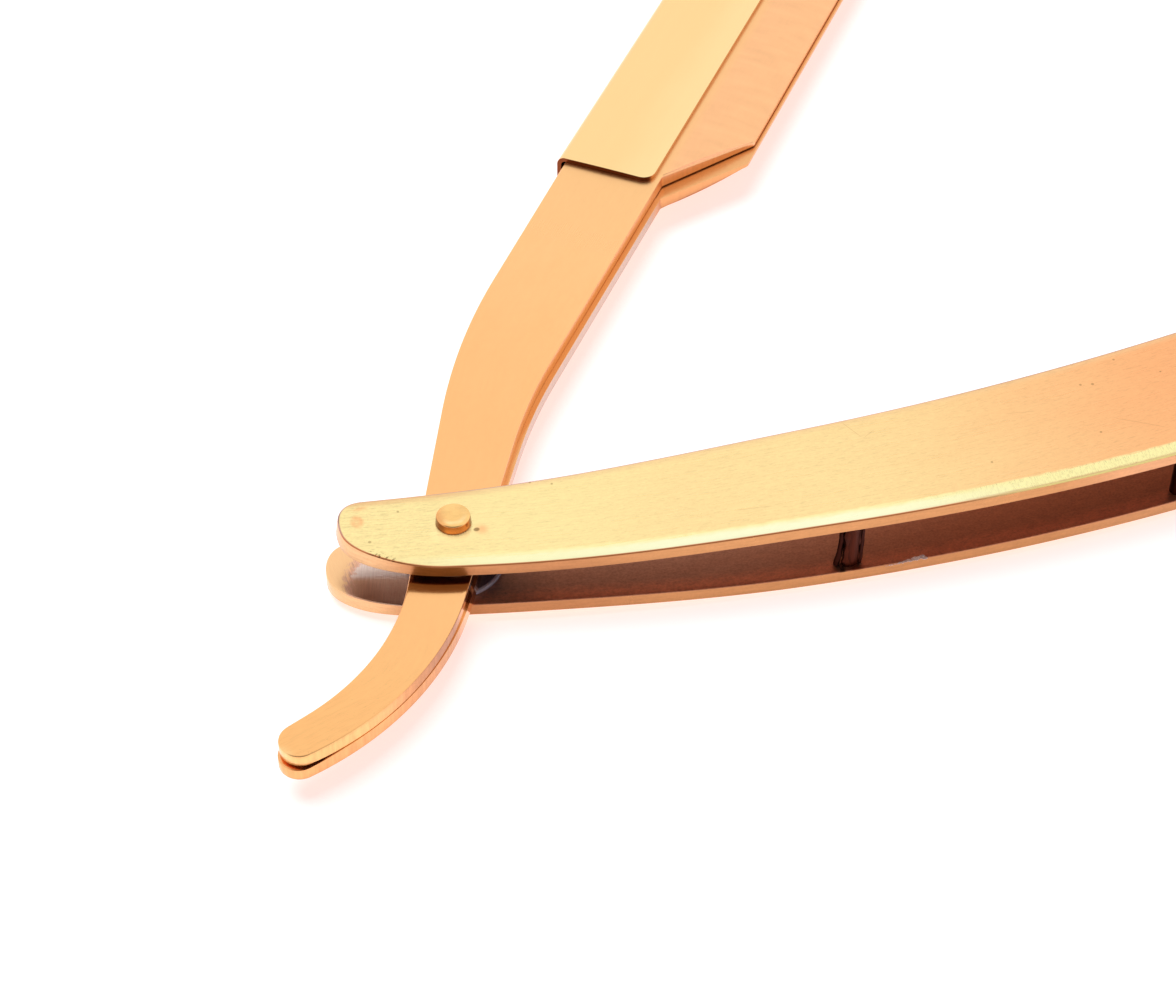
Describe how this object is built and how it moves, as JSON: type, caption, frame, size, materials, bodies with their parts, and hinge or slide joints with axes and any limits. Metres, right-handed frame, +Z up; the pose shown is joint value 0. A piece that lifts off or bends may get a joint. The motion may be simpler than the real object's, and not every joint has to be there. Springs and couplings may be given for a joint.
{
  "type": "folding razor",
  "caption": "Open folding barber's razor in gold-coated steel: bowed handle plates, a split arm on one rivet, and jaws for a half blade held shut by a sliding spine sleeve.",
  "frame": {"origin": "on the pivot rivet's axis, at the flat underside of its lower head", "axes": "+Z up along the rivet, from the lower handle plate to the upper one; +X from the rivet towards the handle's far end; +Y towards the handle's concave edge"},
  "size_m": [0.1517, 0.1046, 0.0086],
  "materials": {
    "plate_gold": "gold-coloured coating over fine lengthwise brushing, worn and scratched",
    "arm_gold": "warm gold-coloured coating, satin",
    "sleeve_gold": "pale gold-coloured coating, smooth",
    "rivet_gold": "gold-coloured coating, polished",
    "pin_gold": "dark bronze-coloured, dull",
    "clear_nylon": "clear, smooth"
  },
  "bodies": {
    "handle": {"scale_upper": "plate_gold", "scale_lower": "plate_gold", "pivot_rivet": "rivet_gold", "washer_upper": "clear_nylon", "washer_lower": "clear_nylon", "spacer_pin_front": "pin_gold", "spacer_pin_middle": "pin_gold", "spacer_pin_end": "pin_gold"},
    "arm": {"arm_half_upper": "arm_gold", "arm_half_lower": "arm_gold", "blade_stud_heel": "pin_gold", "blade_stud_nose": "pin_gold"},
    "sleeve": {"blade_sleeve": "sleeve_gold"}
  },
  "joints": [
    {"name": "arm_fold", "type": "hinge", "parent": "handle", "child": "arm", "pos_m": [0, 0, 0.00423], "axis": [0, 0, 1], "range_deg": [-49.4, 273.5]},
    {"name": "sleeve_slide", "type": "slide", "parent": "arm", "child": "sleeve", "axis": [0.6639, 0.7478, 0], "range_m": [0, 0.053]}
  ]
}
